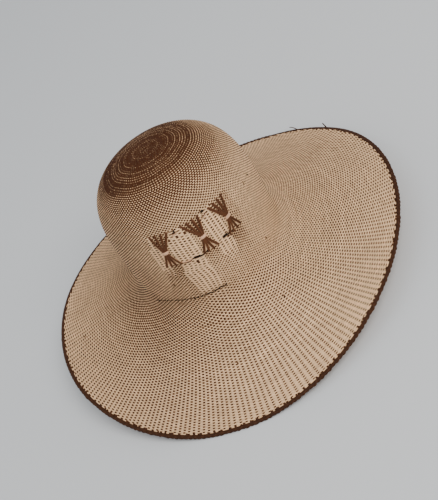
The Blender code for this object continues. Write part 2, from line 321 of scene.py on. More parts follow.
# The line of short dark dashes along the crown's foot, painted shade of the gap there, and the small dark
# ends of straw in the weave. A place is 0 to 1 down the crown, 1 to 2 round the root's curve and 2 to 3
# over the brim.
FOOT_SHADE_DASH_DEG = 2.6
FOOT_LIFT = 1.15 * MM
FOOT_UNEVEN = 0.002
FOOT_SHADE_LINE = table(
    ("azimuth_deg", "place", "width_mm"),
    (199.0, 1.244, 0.35), (205.5, 1.151, 0.45), (211.0, 1.067, 0.5), (217.5, 1.000, 0.6),
    (231.0, 0.991, 0.8), (239.0, 0.991, 1.6), (253.5, 0.986, 1.9), (259.0, 0.981, 1.6),
)
KNOTS = table(
    ("azimuth_deg", "place", "along_deg", "down"),
    (166.5, 2.211, 0.9, 0.015),
    (189.5, 2.795, 0.5, -0.020),
    (165.5, 2.737, 0.6, 0.015),
    (320.5, 0.648, 0.8, 0.016),
    (311.0, 0.633, 1.2, -0.014),
    (301.0, 0.960, 1.0, 0.015),
    (246.0, 2.420, 0.6, 0.014),
    (281.0, 2.150, 0.8, -0.012),
)

rng = np.random.default_rng(7)


def rim_values(azimuths, column):
    """One column of the RIM table at many azimuths, on a smooth closed curve through its rows."""
    values = np.array([row[column] for row in RIM])
    place = np.degrees(azimuths) % 360.0 / 360.0 * len(RIM)
    row = place.astype(int)
    share = place - row
    before, start, end, after = (values[(row + k) % len(RIM)] for k in (-1, 0, 1, 2))
    slope_start = (end - before) / 2
    slope_end = (after - start) / 2
    return ((2 * share**3 - 3 * share**2 + 1) * start + (share**3 - 2 * share**2 + share) * slope_start
            + (3 * share**2 - 2 * share**3) * end + (share**3 - share**2) * slope_end)


def rim_points(azimuths):
    """Middle of the braid at many azimuths."""
    radius = rim_values(azimuths, "radius_mm") * MM
    height = np.maximum(rim_values(azimuths, "height_mm"), 0.0) * MM + REST_LIFT
    return RIM_MIDDLE + np.stack((radius * np.cos(azimuths), radius * np.sin(azimuths), height), -1)


def crown_points(azimuths, heights, widths):
    """Points on the crown: heights and widths are shares of the full height and the full oval."""
    turn = smooth_step(heights, 0, ROOT_SETTLES)[:, None]
    normal = unit(ROOT_NORMAL * (1 - turn) + CROWN_AXIS * turn)
    across = unit(np.array((1.0, 0, 0)) - normal[:, :1] * normal)
    forward = np.cross(normal, across)
    oval = CROWN_HALF_WIDTH * CROWN_HALF_LENGTH / np.hypot(CROWN_HALF_LENGTH * np.cos(azimuths),
                                                           CROWN_HALF_WIDTH * np.sin(azimuths))
    reach = (widths * (1 + CROWN_SWELL * heights))[:, None] * oval
    centre = ROOT_CENTRE + CROWN_AXIS * CROWN_HEIGHT * heights[:, None]
    return (centre[:, None] + across[:, None] * (reach * np.cos(azimuths))[..., None]
            + forward[:, None] * (reach * np.sin(azimuths))[..., None])


def crown_lines(azimuths):
    """Lines from the tip down the wall to where the curve of the root begins."""
    shoulder_width = (1 - SHOULDER_HEIGHT**WALL_SQUARENESS)**(1 / TOP_SQUARENESS)
    top_widths = np.linspace(0, shoulder_width, FINE_STEPS, endpoint=False)
    wall_heights = np.linspace(SHOULDER_HEIGHT, ROOT_CURVE_UP / CROWN_HEIGHT, FINE_STEPS)
    heights = np.concatenate(((1 - top_widths**TOP_SQUARENESS)**(1 / WALL_SQUARENESS), wall_heights))
    widths = np.concatenate((top_widths, (1 - wall_heights**WALL_SQUARENESS)**(1 / TOP_SQUARENESS)))
    return crown_points(azimuths, heights, widths)


def brim_points(azimuths, shares):
    """Points on the brim, from the root (0) to the middle of the braid (1)."""
    root = crown_points(azimuths, np.zeros(1), np.ones(1))[0]
    chord = rim_points(azimuths) - root
    up = np.array((0, 0, 1.0))
    square = unit(up - chord * ((chord @ up) / (chord * chord).sum(-1))[:, None])
    shares = np.asarray(shares)[:, None, None]
    return root + chord * shares - square * 4 * BRIM_BOW * shares * (1 - shares)


def root_lines(azimuths):
    """The rounded turns from the wall to the brim."""
    top = crown_lines(azimuths)[-1]
    corner = crown_points(azimuths, np.zeros(1), np.ones(1))[0]
    out = brim_points(azimuths, [ROOT_CURVE_OUT])[0]
    share = np.linspace(0, 1, FINE_STEPS)[:, None, None]
    return top * (1 - share)**2 + corner * 2 * share * (1 - share) + out * share**2


def brim_lines(azimuths):
    """From the end of the root's curve to the inner side of the braid."""
    lines = brim_points(azimuths, np.linspace(ROOT_CURVE_OUT, 1, FINE_STEPS))
    edge = 1 - (BRAID_WIDTH / 2 + GAP) / step_lengths(lines).sum(0)
    return evenly(lines, np.linspace(0, 1, FINE_STEPS)[:, None] * edge)


def evenly(lines, shares):
    """Each line's points at these shares of its length, with one column of shares for each line."""
    steps = step_lengths(lines)
    reached = np.concatenate((np.zeros((1, steps.shape[1])), np.cumsum(steps, axis=0)))
    result = np.empty((len(shares), lines.shape[1], 3))
    for column in range(lines.shape[1]):
        place = shares[:, column] * reached[-1, column]
        for axis in range(3):
            result[:, column, axis] = np.interp(place, reached[:, column], lines[:, column, axis])
    return result


def surface_grid():
    """Points and outward directions, by station and azimuth, and each crown line's length."""
    azimuths = np.arange(AZIMUTH_STEPS) * TURN / AZIMUTH_STEPS
    parts = []
    for make_lines, count in zip((crown_lines, root_lines, brim_lines), STATIONS.values()):
        shares = np.repeat(np.linspace(0, 1, count + 1)[:, None], AZIMUTH_STEPS, axis=1)
        even = evenly(make_lines(azimuths), shares)
        parts.append(even[1:] if parts else even)
    points = np.concatenate(parts)
    down = np.gradient(points, axis=0)
    round_way = np.roll(points, -1, axis=1) - np.roll(points, 1, axis=1)
    outward = np.cross(down, round_way)
    outward[0] = CROWN_AXIS
    return points, unit(outward), step_lengths(parts[0]).sum(0)


POINTS, OUTWARD, CROWN_LENGTH = surface_grid()
STATION_ENDS = np.cumsum((0, *STATIONS.values()))


def read_grid(grid, places, azimuths):
    """Values of a grid at many places: 0 to 1 down the crown, to 2 down the root, to 3 over the brim."""
    station = np.clip(np.interp(places, (0, 1, 2, 3), STATION_ENDS), 0, STATION_ENDS[-1] - 1e-6)
    column = azimuths / TURN * AZIMUTH_STEPS % AZIMUTH_STEPS
    row = station.astype(int)
    left = column.astype(int) % AZIMUTH_STEPS
    right = (left + 1) % AZIMUTH_STEPS
    down = (station - row)[..., None]
    over = (column - np.floor(column))[..., None]
    above = grid[row, left] * (1 - over) + grid[row, right] * over
    below = grid[row + 1, left] * (1 - over) + grid[row + 1, right] * over
    return above * (1 - down) + below * down


def surface_line(places, azimuths, lift):
    """Points this far outside the surface, and the outward directions there."""
    outward = read_grid(OUTWARD, places, azimuths)
    return read_grid(POINTS, places, azimuths) + outward * np.asarray(lift)[..., None], outward


def on_surface(places, azimuths, lift):
    """Points this far outside the surface."""
    return surface_line(places, azimuths, lift)[0]


def crown_length_at(azimuths):
    """Length of the crown's profile from the tip to the root's curve."""
    turns = np.arange(AZIMUTH_STEPS + 1) * TURN / AZIMUTH_STEPS
    return np.interp(azimuths % TURN, turns, np.append(CROWN_LENGTH, CROWN_LENGTH[0]))


def wall_place(rise, azimuths):
    """The place down the profile that lies this far up the wall from the root's curve."""
    return 1 - rise / crown_length_at(azimuths)


def make_object(name, points, faces, uv, values, slot, material):
    """One joined mesh that rides on the hat: points, arrays of faces, and values at every point."""
    mesh = bpy.data.meshes.new(name)
    corners = np.concatenate([part.ravel() for part in faces]).astype(np.int32)
    sizes = np.concatenate([np.full(len(part), part.shape[1]) for part in faces])
    mesh.vertices.add(len(points))
    mesh.vertices.foreach_set("co", points.astype(np.float32).ravel())
    mesh.loops.add(len(corners))
    mesh.loops.foreach_set("vertex_index", corners)
    mesh.polygons.add(len(sizes))
    mesh.polygons.foreach_set("loop_start", (np.cumsum(sizes) - sizes).astype(np.int32))
    mesh.update(calc_edges=True)
    for key, numbers in values.items():
        attribute = mesh.attributes.new(key, "FLOAT", "POINT")
        attribute.data.foreach_set("value", numbers.astype(np.float32))
    layer = mesh.uv_layers.new(name="strand")
    layer.data.foreach_set("uv", uv[corners].astype(np.float32).ravel())
    mesh.shade_smooth()
    mesh.materials.append(material)
    thing = bpy.data.objects.new(name, mesh)
    bpy.context.scene.collection.objects.link(thing)
    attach(thing, "root")
    return thing


def join(parts):
    """Many parts (points, faces, strand coordinates, values) as the same four things for one mesh."""
    points, faces, uvs, values = zip(*parts)
    starts = np.cumsum([0] + [len(part) for part in points])
    joined_faces = np.concatenate([part + start for part, start in zip(faces, starts)])
    joined_values = {key: np.concatenate([part[key] for part in values]) for key in values[0]}
    return np.concatenate(points), [joined_faces], np.concatenate(uvs), joined_values


def spacing_grids():
    """How far one radian round the hat is, and one unit of place down it, at every grid point."""
    across = np.roll(POINTS, -1, axis=1) - np.roll(POINTS, 1, axis=1)
    round_way = np.linalg.norm(across, axis=-1) / (2 * TURN / AZIMUTH_STEPS)
    down = np.linalg.norm(np.gradient(POINTS, axis=0), axis=-1)
    counts = list(STATIONS.values())
    counts = np.repeat(counts, np.add(counts, (0, 0, 1)))
    return np.stack((round_way, down * counts[:, None]), -1)


SPACING = spacing_grids()
FRONT_RUN = float(CROWN_LENGTH[AZIMUTH_STEPS * 3 // 4])


def crown_rows():
    """The place of every weft row on the crown and the pitch there, as shares of the profile."""
    run = np.linspace(0, FRONT_RUN, 4000)
    pitch = read_table(CROWN_PITCHES, "pitch_mm", run / MM) * MM
    count = np.concatenate(([0], np.cumsum((run[1] - run[0]) / pitch[:-1])))
    total = int(count[-1])
    rows = np.interp(np.arange(total) + 0.5, count * total / count[-1], run)
    return rows / FRONT_RUN, np.interp(rows, run, pitch) / FRONT_RUN


def row_places():
    """Where every weft row lies down the profile, its pitch there, and how many rows the crown has."""
    crown_places, crown_pitches = crown_rows()
    steps = step_lengths(POINTS).mean(1)
    root_count = round(steps[STATION_ENDS[1]:STATION_ENDS[2]].sum() / ROOT_PITCH)
    brim_count = round(steps[STATION_ENDS[2]:].sum() / BRIM_PITCH)
    root = (np.arange(root_count) + 0.5) / root_count
    brim = (np.arange(brim_count) + 0.5) / brim_count
    brim_places = brim * (1 + BRIM_ROW_TIGHTENING - BRIM_ROW_TIGHTENING * brim)
    brim_pitches = (1 + BRIM_ROW_TIGHTENING - 2 * BRIM_ROW_TIGHTENING * brim) / brim_count
    places = np.concatenate((crown_places, 1 + root, 2 + brim_places))
    pitches = np.concatenate((crown_pitches, np.full(root_count, 1 / root_count), brim_pitches))
    return places, pitches, len(crown_places)


def warp_starts(crown_runs):
    """For every warp, in order round the hat, the row where it begins; pairs begin within the weave."""
    levels = len(DOUBLING_RUNS)
    full = FIRST_WARPS * 2**levels
    first_rows = [0, *np.searchsorted(crown_runs, DOUBLING_RUNS)]
    first_pair, last_pair = np.searchsorted(crown_runs, (CROWN_PAIRS_FROM, CROWN_PAIRS_TO))
    ranks = rng.permutation(CROWN_PAIRS)
    pair_after = {int((pair + rng.uniform(0.2, 0.8)) * full / CROWN_PAIRS): rank
                  for pair, rank in enumerate(ranks)}
    starts = []
    paired = []
    for index in range(full):
        level = levels
        while level > 0 and index % 2**(levels - level + 1) == 0:
            level -= 1
        starts.append(first_rows[level])
        paired.append(False)
        if index in pair_after:
            share = (pair_after[index] + 0.5) / CROWN_PAIRS
            starts += [first_pair + share * (last_pair - first_pair)] * 2
            paired += [True, True]
    return np.array(starts, float), np.array(paired)


def sway(azimuths, row, seed, waves=(3, 7, 11)):
    """A smooth closed wave round the hat that changes slowly from row to row."""
    local = np.random.default_rng(seed)
    total = np.zeros_like(azimuths)
    for wave in waves:
        start = local.uniform(0, TURN)
        total += np.sin(azimuths * wave + start + row * local.uniform(-ROW_DRIFT, ROW_DRIFT))
    return total / len(waves)


def inside_fan(bunch, azimuth, rise, upper):
    """Which places lie between the outer strands of a bunch's upper or lower half."""
    key = "upper" if upper else "lower"
    reach = UPPER_REACH * UPPER_END if upper else LOWER_REACH
    away = (rise - bunch["rise_mm"] * MM) * (1 if upper else -1)
    share = away / reach
    middle = bunch[key + "_shift_mm"] * MM * share
    half = WAIST_WIDTH / 2 + (bunch[key + "_width_mm"] * MM - WAIST_WIDTH) / 2 * share
    return (away > 0) & (share < 1.0) & (abs(beside(azimuth, bunch) - middle) < half)


def slit_hit(azimuth, rise, margin):
    """Which places lie within this margin of one of the open slits."""
    hit = np.zeros(rise.shape, bool)
    for slit in SLITS:
        side = beside(azimuth, slit)
        climb = rise - slit["rise_mm"] * MM
        lean = slit["lean_deg"] * DEG
        along_slit = side * math.cos(lean) + climb * math.sin(lean)
        across_slit = climb * math.cos(lean) - side * math.sin(lean)
        within = abs(along_slit) < slit["length_mm"] * MM / 2
        hit |= within & (abs(across_slit) < SLIT_OPEN / 2 + margin)
    return hit


def between_azimuths(azimuths, cell):
    """Which azimuths lie within a cell."""
    return (azimuths > cell["start_deg"] * DEG) & (azimuths < cell["end_deg"] * DEG)


def missing_warps(wall_azimuths):
    """Which warps go into a bunch beside a cell, how far down their gaps close, and each cell's warps."""
    goes = np.zeros(len(wall_azimuths), bool)
    closed_by = np.zeros(len(wall_azimuths))
    cell_members = []
    for cell in CELLS:
        if not cell["stays_open"]:
            continue
        inside = np.flatnonzero(between_azimuths(wall_azimuths, cell))
        chosen = inside[1::2]
        # An even number of them, so that over and under still take turns where the cell ends.
        chosen = chosen[:len(chosen) // 2 * 2]
        goes[chosen] = True
        closed_by[chosen] = cell["closed_by_mm"] * MM
        cell_members.append(inside)
    return goes, closed_by, cell_members


def crossings():
    """Every crossing of the weave as arrays: where it is, which strand is on top and its room."""
    places, pitches, crown_count = row_places()
    row_runs = places * FRONT_RUN
    starts, paired = warp_starts(row_runs[:crown_count])
    on_wall = starts < crown_count
    wall_azimuths = (np.cumsum(on_wall) - 0.5) / on_wall.sum() * TURN
    goes, closed_by, cell_members = missing_warps(wall_azimuths)
    goes &= on_wall
    bump = hump(wall_azimuths, FRONT_MIDDLE, FRONT_HALF)
    warp_tone = rng.normal(0, 1, len(starts))
    rows = []
    for row, (place, pitch) in enumerate(zip(places, pitches)):
        age = row + 0.5 - starts
        unclosed = np.clip(age / np.where(paired, WIDEN_ROWS, 2), 0, 1)
        if row < crown_count:
            rise_here = (1 - place) * FRONT_RUN
        else:
            rise_here = -(row - crown_count) * ROOT_PITCH
        closing = smooth_step(-rise_here, -CLOSING_FROM, -closed_by)
        widths = np.where(goes, unclosed * (1 - closing), unclosed)
        # The warps in front share the room that the closed gaps give back.
        spread = 1 + bump * (unclosed.sum() - widths.sum()) / max((bump * widths).sum(), 1e-9)
        widths = widths * spread
        azimuth = (np.cumsum(widths) - widths / 2) / widths.sum() * TURN
        rise = (1 - place) * crown_length_at(azimuth)
        absent = goes & (rise < PANEL_TOP)
        for bunch in BUNCHES:
            absent &= ~inside_fan(bunch, azimuth, rise, True)
        live = (widths > NARROWEST) & ~absent
        # Counted so that a warp that goes missing changes the over and under in its own cell alone.
        wide = unclosed * spread > NARROWEST
        counted = np.cumsum(wide)
        for members in cell_members:
            counted[members] -= np.cumsum((wide & ~live)[members])
        azimuth = azimuth[live]
        room = (np.roll(azimuth, -1) - azimuth) % TURN
        azimuth = azimuth + room * WARP_SHIFT * sway(azimuth * 5, row * 1.5, 99)
        right = (np.roll(azimuth, -1) - azimuth) % TURN
        values = {
            "place": place + pitch * SWAY * sway(azimuth, row, 31),
            "pitch": pitch,
            "azimuth": azimuth,
            "left": np.roll(right, 1),
            "right": right,
            "over": (counted[live] + row) % 2 == 0,
            "row": row,
            "rise": rise[live],
            "warp_tone": warp_tone[live],
            "weft_tone": rng.normal(0, 1),
        }
        rows.append({key: np.broadcast_to(value, azimuth.shape) for key, value in values.items()})
    weave = {key: np.concatenate([row[key] for row in rows]) for key in rows[0]}
    size_crossings(weave)
    colour_crossings(weave, len(places))
    return weave


def dense_under(azimuth, rise, on_front_wall):
    """How much the warps crowd at each place because a bunch lets them go just above it."""
    dense = np.zeros(azimuth.shape)
    for bunch in BUNCHES:
        side = beside(azimuth, bunch)
        foot = bunch["rise_mm"] * MM - LOWER_REACH
        below = np.clip(foot - rise, 0, None)
        half = bunch["lower_width_mm"] * MM / 2
        left_edge = half + below * bunch["dense_spread"]
        right_edge = half + below * DENSE_SPREAD_RIGHT
        room = np.where(side < 0, left_edge + side, right_edge - side)
        soft_side = np.clip((room + DENSE_SOFT_EDGE) / (2 * DENSE_SOFT_EDGE), 0, 1)
        fade = np.exp(-below / (bunch["dense_fade_mm"] * MM))
        dense = np.maximum(dense, np.where(on_front_wall & (rise < foot), soft_side * fade, 0))
    return dense


def effective_run(weave):
    """Distance from the tip, less at the back, where the dark top reaches further down."""
    back = (1 + np.cos(weave["azimuth"] - DARKEST_AZIMUTH)) / 2
    return weave["place"] * FRONT_RUN - DARKER_BACK * back**2


def size_crossings(weave):
    """Adds how wide the warp and the weft show at each crossing, and metres for a radian and a place."""
    azimuth = weave["azimuth"]
    rise = weave["rise"]
    weave["reach"], weave["drop"] = read_grid(SPACING, weave["place"], azimuth).T
    run = effective_run(weave)
    on_front_wall = weave["place"] < FRONT_UNTIL
    dense = dense_under(azimuth, rise, on_front_wall)
    cell = np.zeros(len(azimuth))
    panel = (rise < PANEL_TOP) & (rise > PANEL_FOOT)
    below = on_front_wall & (rise < PANEL_FOOT)
    for row in CELLS:
        chosen = between_azimuths(azimuth, row) & (panel | (below & (rise > row["open_until_mm"] * MM)))
        cell[chosen] = row["weft_mm"] * MM
        weave["weft_tone"][chosen] += row["paler"]
    bare = np.zeros(len(azimuth), bool)
    for bunch in BUNCHES:
        upper = inside_fan(bunch, azimuth, rise, True)
        lower = inside_fan(bunch, azimuth, rise, False)
        bare |= lower
        cell[upper | lower] = 0
        dense[upper] = DENSE_IN_FAN
    # More brown on the left side: partly the weave, partly painted shade.
    darker = hump(azimuth, DARKER_SIDE, DARKER_SIDE_HALF) * smooth_step(run, *DARKER_SIDE_RUNS)
    share = read_table(WARP_SHARES, "share", run / MM) + DARKER_SIDE_SHARE * darker
    share = np.minimum(share, MOST_WARP_SHARE)
    share = share * (1 - dense) + np.maximum(share, DENSE_WARP_SHARE) * dense
    gap = np.minimum(weave["left"], weave["right"]) * weave["reach"]
    pitch = weave["pitch"] * weave["drop"]
    weft_width = np.minimum(pitch * WEFT_FILL, read_table(WEFT_WIDTHS, "width_mm", run / MM) * MM)
    weft_width = weft_width * (1 - DARKER_SIDE_WEFT * darker)
    weft_width = weft_width * (1 - dense) + DENSE_WEFT_WIDTH * dense
    weave["warp_width"] = np.minimum(gap * share, WARP_WIDTH)
    weave["weft_width"] = np.where(cell > 0, cell, weft_width)
    weave["row_pitch"] = pitch
    weave["bare"] = bare
    weave["cell"] = cell > 0


def colour_crossings(weave, row_count):
    """Adds how brown the warp and the weft are at each crossing, from 0 (light) to 1 (brown)."""
    azimuth = weave["azimuth"]
    rise = weave["rise"]
    row = weave["row"]
    warp = np.ones(len(row))
    weft = read_table(WEFT_BROWNS, "brown", effective_run(weave) / MM)
    uneven = rng.normal(0, ROW_UNEVEN, row_count)[row] + rng.normal(0, SPOT_UNEVEN, len(row))
    warp[weave["bare"]] = 0.0
    seam = (abs(azimuth - SEAM_AZIMUTH) < SEAM_HALF) & (rise > SEAM_LOW) & (rise < SEAM_HIGH)
    warp[seam & (weave["place"] < 1)] = SEAM_BROWN
    cell = weave["cell"]
    warp[cell] = np.clip(CELL_BROWN + rng.normal(0, CELL_UNEVEN, cell.sum()), CELL_PALEST, 1)
    weave["warp_brown"] = warp
    # Where the wefts are all but light, they vary less.
    weave["weft_brown"] = np.clip(weft + uneven * np.clip(weft * 3, 0, 1), 0, 1)


PLACE_RANGE = (0.0005, 2.9999)

# Tiles: steps along and across a strand, from -1 to 1. A weft's tile has two more rows of points.
WARP_STEPS = np.array([(u, v) for u in (-1, 0, 1) for v in (-1, 0, 1)], float)
WEFT_STEPS = np.array([(u, v) for u in (-1, -0.6, 0, 0.6, 1) for v in (-1, 0, 1)], float)
PILLOW_STEPS = np.array(((-1, -1), (1, -1), (1, 1), (-1, 1), (0, 0)), float)
PILLOW_FACES = np.array(((1, 0, 4), (2, 1, 4), (3, 2, 4), (0, 3, 4)))


def tile_lift(steps):
    """Height of an arched tile over the wall: high in its middle, and diving at both ends."""
    along = abs(steps[:, 0])
    ridge = np.interp(along, (0, 0.6, 1), (ARCH, SHOULDER, -DIVE))
    return ridge - EDGE_DROP * steps[:, 1]**2


def grid_faces(steps):
    """Quads of a tile whose points run three across and the rest along."""
    firsts = [3 * row + column for row in range(len(steps) // 3 - 1) for column in range(2)]
    return np.array([(first, first + 1, first + 4, first + 3) for first in firsts])


def tile_points(weave, warp_on_top, steps, lift):
    """Points of tiles for these crossings, with the given steps along and across the strand."""
    along, across = steps.T[:, None]
    here = {key: values[:, None] for key, values in weave.items()}
    if warp_on_top:
        down = along * (here["row_pitch"] - here["weft_width"] / 2 + TUCK)
        sideways = across * here["warp_width"] / 2
    else:
        room = np.where(along < 0, here["left"], here["right"]) * here["reach"]
        sideways = along * (room - here["warp_width"] / 2 + TUCK)
        down = across * here["weft_width"] / 2
    azimuths = here["azimuth"] + sideways / here["reach"]
    places = np.clip(here["place"] + down / here["drop"], *PLACE_RANGE)
    return on_surface(places, azimuths, np.broadcast_to(lift, places.shape)).reshape(-1, 3)


def make_tiles(name, weave, chosen, material, inside):
    """Tiles for the chosen crossings: arches outside, and pillows inside, where the other strand shows."""
    parts = []
    for kind, warp_on_top, steps in (("warp", True, WARP_STEPS), ("weft", False, WEFT_STEPS)):
        picked = chosen & ((weave["over"] == warp_on_top) != inside)
        here = {key: values[picked] for key, values in weave.items()}
        faces = grid_faces(steps)
        lift = tile_lift(steps)
        if inside:
            steps = PILLOW_STEPS
            faces = PILLOW_FACES
            lift = -WALL + np.where(abs(steps[:, 0]) > 0, DIVE, -ARCH)
        points = tile_points(here, warp_on_top, steps, lift)
        count = int(picked.sum())
        turned = faces if warp_on_top else faces[:, ::-1]
        every_face = turned + np.arange(count)[:, None, None] * len(steps)
        tone = here[kind + "_tone"] * STRAND_TONE + rng.normal(0, TILE_TONE, count)
        values = {key: np.repeat(column, len(steps)) for key, column in (
            ("brown", here[kind + "_brown"]), ("tone", tone))}
        uv = steps * 0.5 + 0.5 + rng.uniform(0, UV_RANGE, (count, 1, 2))
        parts.append((points, every_face.reshape(-1, faces.shape[1]), uv.reshape(-1, 2), values))
    thing = make_object(name, *join(parts), "straw_weave", material)
    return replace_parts(thing, "woven_body")


def make_core(material):
    """The strands' hidden middles: a thin closed shell behind the tiles, with the slits cut through."""
    places = np.unique(np.concatenate([np.linspace(*stretch) for stretch in CORE_STRETCHES]))
    azimuths = np.arange(CORE_COLUMNS) * TURN / CORE_COLUMNS
    places, azimuths = np.meshgrid(places, azimuths, indexing="ij")
    lifts = (-CORE_DEPTH, CORE_DEPTH - WALL)
    outer, inner = (on_surface(places, azimuths, lift).reshape(-1, 3) for lift in lifts)
    points = np.concatenate((outer, inner, on_surface(np.zeros(2), np.zeros(2), lifts)))
    ids = np.arange(places.size).reshape(places.shape)
    after = np.roll(ids, -1, axis=1)
    skin = np.stack((ids[1:], after[1:], after[:-1], ids[:-1]), -1).reshape(-1, 4)
    lining = skin[:, ::-1] + ids.size
    edge = np.stack((ids[-1] + ids.size, after[-1] + ids.size, after[-1], ids[-1]), -1)
    outer_tip = np.full(CORE_COLUMNS, 2 * ids.size)
    outer_fan = np.stack((ids[0], after[0], outer_tip), -1)
    inner_fan = np.stack((after[0] + ids.size, ids[0] + ids.size, outer_tip + 1), -1)
    faces = [np.concatenate((skin, lining, edge)), np.concatenate((outer_fan, inner_fan))]
    rise = (1 - places) * crown_length_at(azimuths)
    brown = np.interp(rise, CORE_BROWN_RISES, CORE_BROWNS)
    brown = np.maximum(brown, dense_under(azimuths, rise, places < FRONT_UNTIL)).ravel()
    values = {"brown": np.concatenate((brown, brown, (1.0, 1.0))), "tone": np.full(len(points), CORE_TONE)}
    uv = points[:, :2] * CORE_UV_SCALE
    thing = make_object("woven_core", points, faces, uv, values, "straw_weave", material)
    cut_slits(thing)
    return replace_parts(thing, "woven_body")


def wall_frame(azimuth, rise):
    """Point, side, up and outward directions on the crown's wall."""
    nudge = 1.0 * MM
    angle = nudge / CROWN_HALF_LENGTH
    turns = np.array((azimuth, azimuth - angle, azimuth + angle, azimuth, azimuth))
    rises = np.array((rise, rise, rise, rise - nudge, rise + nudge))
    points = on_surface(wall_place(rises, turns), turns, np.zeros(5))
    side = unit(points[2] - points[1])
    up = unit(points[4] - points[3])
    return points[0], side, up, unit(np.cross(side, up))


def cut_slits(thing):
    """Cuts the slits through a piece with plain blocks, and leaves no modifier on it."""
    blocks = []
    for slit in SLITS:
        point, side, up, outward = wall_frame(slit["azimuth_deg"] * DEG, slit["rise_mm"] * MM)
        lean = slit["lean_deg"] * DEG
        long_way = side * math.cos(lean) + up * math.sin(lean)
        short_way = up * math.cos(lean) - side * math.sin(lean)
        size = (slit["length_mm"] * MM, SLIT_OPEN, SLIT_DEPTH, 1.0)
        turn = Matrix(np.stack((long_way, short_way, outward), -1).tolist()).to_4x4()
        bpy.ops.mesh.primitive_cube_add(size=1.0)
        block = bpy.context.object
        block.matrix_world = Matrix.Translation(Vector(point)) @ turn @ Matrix.Diagonal(size)
        # The cut walls take these values: painted shade inside each slit.
        for key, value in (("brown", 1.0), ("tone", SLIT_WALL_SHADE_TONE)):
            attribute = block.data.attributes.new(key, "FLOAT", "POINT")
            attribute.data.foreach_set("value", np.full(8, value))
        cut = thing.modifiers.new("slit", "BOOLEAN")
        cut.operation = "DIFFERENCE"
        cut.solver = "EXACT"
        cut.object = block
        blocks.append(block)
    bpy.context.view_layer.update()
    solid = bpy.data.meshes.new_from_object(thing.evaluated_get(bpy.context.evaluated_depsgraph_get()))
    thing.modifiers.clear()
    thing.data = solid
    for block in blocks:
        bpy.data.objects.remove(block, do_unlink=True)


def tube(path, outward, widths, heights, sides=6, closed=False):
    """Points, quads and strand coordinates of a flat round strand that follows a path."""
    if closed:
        forward = unit(np.roll(path, -1, axis=0) - np.roll(path, 1, axis=0))
    else:
        forward = unit(np.gradient(path, axis=0))
    side = unit(np.cross(forward, outward))
    lift = np.cross(side, forward)
    angles = np.arange(sides) * TURN / sides
    across = np.broadcast_to(widths, len(path))[:, None] / 2 * np.cos(angles)
    above = np.broadcast_to(heights, len(path))[:, None] / 2 * np.sin(angles)
    points = path[:, None] + side[:, None] * across[..., None] + lift[:, None] * above[..., None]
    ids = np.arange(len(path) * sides).reshape(len(path), sides)
    after = np.roll(ids, -1, axis=0) if closed else ids[1:]
    before = ids if closed else ids[:-1]
    corners = (before, np.roll(before, -1, axis=1), np.roll(after, -1, axis=1), after)
    quads = np.stack(corners, -1).reshape(-1, 4)
    if not closed:
        caps = np.array([(0, corner, corner + 1, corner + 2) for corner in range(1, sides - 2, 2)])
        quads = np.concatenate((quads, ids[0][caps[:, ::-1]], ids[-1][caps]))
    length = np.concatenate(([0], np.cumsum(step_lengths(path))))
    uv = np.stack(np.broadcast_arrays(length[:, None] / STRAND_UV_LENGTH, angles / TURN), -1)
    return points.reshape(-1, 3), quads, uv.reshape(-1, 2)


def make_strands(name, strands, slot, material, node):
    """One piece from several tubes, each with its own tone."""
    parts = []
    for points, quads, uv in strands:
        tone = np.full(len(points), rng.normal(0, 1))
        parts.append((points, quads, uv + rng.uniform(0, UV_RANGE, 2), {"tone": tone}))
    thing = make_object(name, *join(parts), slot, material)
    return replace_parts(thing, node)


def wall_line(bunch, spots, lifts):
    """Points and outward directions for spots (side, up) round a bunch's middle on the crown's wall."""
    turns = bunch["azimuth_deg"] * DEG + spots[:, 0] / CROWN_HALF_LENGTH
    places = wall_place(bunch["rise_mm"] * MM + spots[:, 1], turns)
    return surface_line(places, turns, lifts)


def bunch_strands(bunch):
    """The strands of both halves of a bunch, drawn together into a neck on each side of the tie."""
    steps = np.linspace(0, 1, 16)
    arch = np.sin(steps * math.pi)
    apart = np.interp(steps, (0, 0.35, 0.8, 1), (0.5, 0.9, 1.0, 0.8))
    widths = np.interp(steps, (0, 0.3, 0.85, 1), (0.9, 1.15, 1.2, 0.9))
    heights = np.interp(steps, (0, 0.3, 0.9, 1), (1.4, 1.0, 0.8, 0.5)) * MM
    strands = []
    for key, direction, reach, wider in (("upper", 1, UPPER_REACH * UPPER_END, 1),
                                         ("lower", -1, LOWER_REACH * LOWER_END, LOWER_SPREAD)):
        count = bunch[key + "_strands"]
        for share in np.arange(count) / (count - 1) - 0.5:
            sideways = share * bunch[key + "_width_mm"] * wider + bunch[key + "_shift_mm"] * direction
            tip = np.array((sideways * MM, reach * direction))
            root = np.array((share * WAIST_WIDTH * NECK_SHARE, NECK_REACH * direction))
            square = unit(np.array((tip[1] - root[1], root[0] - tip[0])))
            for half in (-0.5, 0.5):
                bend = math.copysign(FAN_BEND, share) * rng.uniform(0.2, 1.0) * arch
                offset = apart * half * FAN_WIDTHS[key] * 0.5 + bend
                spots = root + (tip - root) * np.stack((steps**FAN_OPENS, steps), -1)
                spots = spots + square * offset[:, None]
                lifts = GAP + FAN_LIFT + FAN_ARCH * arch**0.7 + half * FAN_STAGGER
                path, outward = wall_line(bunch, spots, lifts)
                strands.append(tube(path, outward, widths * FAN_WIDTHS[key] / 2, heights))
    return strands


def tie_strands(bunch):
    """Turns of light straw over the waist of a bunch, down to the wall on each side."""
    angles = np.linspace(0, math.pi, 15)
    sideways = (WAIST_WIDTH / 2 + TIE_ROOM) * np.cos(angles)
    lifts = TIE_LOW + (STRAND_THICKNESS + TIE_ABOVE) * np.sin(angles)**0.6
    strands = []
    for turn in (-1, 0, 1):
        spots = np.stack((sideways, turn * TIE_PITCH + TIE_LEAN * np.cos(angles)), -1)
        strands.append(tube(*wall_line(bunch, spots, lifts), *TIE_STRAND))
    return strands


